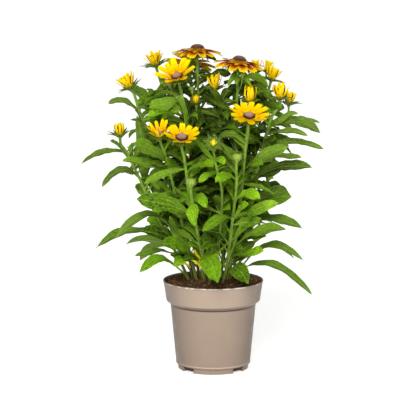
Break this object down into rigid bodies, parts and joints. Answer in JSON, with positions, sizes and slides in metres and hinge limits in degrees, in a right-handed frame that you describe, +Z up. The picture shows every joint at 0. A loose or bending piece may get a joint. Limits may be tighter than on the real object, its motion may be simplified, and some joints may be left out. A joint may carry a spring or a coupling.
{
  "type": "potted rudbeckia plant",
  "caption": "Bushy garden rudbeckia in a round nursery pot with a collared rim: leafy stems, half-open and open daisy blooms with dark centres, green buds, potting soil.",
  "frame": {"origin": "centre of the pot's base, on the surface it stands on", "axes": "+Z up along the pot's axis, -Y towards the side seen in the picture, +X to its right"},
  "size_m": [0.403, 0.3214, 0.5496],
  "materials": {
    "pot": "matte taupe moulded plastic",
    "soil": "damp peat and bark crumbs",
    "foliage": "soft hairy green leaf and stem",
    "ray_florets": "satin yellow petal",
    "discs": "matte brown floret cone"
  },
  "bodies": {
    "root": {"rays_top_centre": "ray_florets", "disc_top_centre": "discs", "rays_top_right": "ray_florets", "disc_top_right": "discs", "rays_cupped": "ray_florets", "disc_cupped": "discs", "rays_upper_left": "ray_florets", "rays_far_left": "ray_florets", "rays_left_bud": "ray_florets", "rays_mid_left": "ray_florets", "disc_mid_left": "discs", "rays_mid_front": "ray_florets", "disc_mid_front": "discs", "rays_mid_right": "ray_florets", "disc_mid_right": "discs", "rays_centre": "ray_florets", "rays_star": "ray_florets", "rays_back_pair_left": "ray_florets", "rays_right_tall": "ray_florets", "rays_far_right": "ray_florets", "rays_behind_top": "ray_florets", "disc_behind_top": "discs", "rays_back_left": "ray_florets", "disc_back_left": "discs", "rays_back_middle": "ray_florets", "disc_back_middle": "discs", "rays_back_right": "ray_florets", "disc_back_right": "discs", "rays_curled": "ray_florets", "rays_small_right": "ray_florets", "rays_back_pair_right": "ray_florets", "rays_right_edge": "ray_florets", "pot": "pot", "soil": "soil", "leafy_stem_top_centre": "foliage", "leafy_stem_top_right": "foliage", "leafy_stem_cupped": "foliage", "leafy_stem_upper_left": "foliage", "leafy_stem_far_left": "foliage", "leafy_stem_left_bud": "foliage", "leafy_stem_mid_left": "foliage", "leafy_stem_mid_front": "foliage", "leafy_stem_mid_right": "foliage", "leafy_stem_centre": "foliage", "leafy_stem_star": "foliage", "leafy_stem_front_bud": "foliage", "leafy_stem_right_bud": "foliage", "leafy_stem_back_pair": "foliage", "leafy_stem_right_tall": "foliage", "leafy_stem_far_right": "foliage", "leafy_stem_behind_top": "foliage", "leafy_stem_back_left": "foliage", "leafy_stem_back_middle": "foliage", "leafy_stem_back_right": "foliage", "leafy_stem_side_right": "foliage"}
  },
  "joints": []
}
